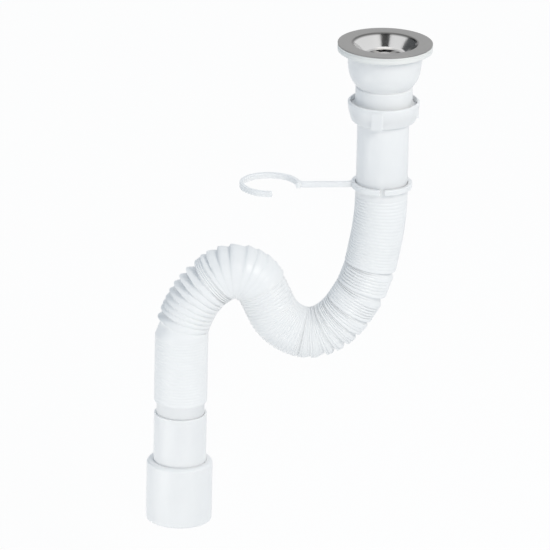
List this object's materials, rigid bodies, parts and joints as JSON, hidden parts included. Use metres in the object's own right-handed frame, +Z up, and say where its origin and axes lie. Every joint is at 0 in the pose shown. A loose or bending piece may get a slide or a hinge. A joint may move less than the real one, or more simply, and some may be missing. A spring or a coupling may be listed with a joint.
{
  "type": "flexible sink trap",
  "caption": "Flexible sink trap: steel strainer waste, union nut, white bellows hose bent to an S, clip, and a 40 to 50 mm tail.",
  "frame": {"origin": "on the waste axis, in the plane where the sink sheet is clamped between the two gaskets", "axes": "+Z up along the waste axis; the bends of the hose lie in the XZ plane, with the tail towards -X"},
  "size_m": [0.2084, 0.071, 0.3834],
  "materials": {
    "steel": "satin flange, polished dish",
    "brass": "turned",
    "cream_rubber": "matte",
    "black_rubber": "matte",
    "white_plastic": "satin",
    "hose_plastic": "satin"
  },
  "bodies": {
    "waste": {"strainer_dish": "steel", "strainer_screw": "steel", "upper_gasket": "cream_rubber", "lower_gasket": "cream_rubber", "outlet_body": "white_plastic", "screw_insert": "brass", "union_washer": "black_rubber", "trap_hose": "hose_plastic"},
    "nut": {"union_nut": "white_plastic"},
    "clip": {"trap_clip": "white_plastic"},
    "tail": {"tail_spigot": "white_plastic", "reducer_sleeve": "white_plastic"}
  },
  "joints": [
    {"name": "nut_turn", "type": "hinge", "parent": "waste", "child": "nut", "pos_m": [0, 0, -0.0502], "axis": [0, 0, 1], "continuous": true},
    {"name": "clip_swing", "type": "hinge", "parent": "waste", "child": "clip", "pos_m": [0, 0, -0.1087], "axis": [0, 0, 1], "continuous": true},
    {"name": "tail_extend", "type": "slide", "parent": "waste", "child": "tail", "axis": [0, 0, -1], "range_m": [0, 0.05], "deforming": ["trap_hose"]}
  ]
}
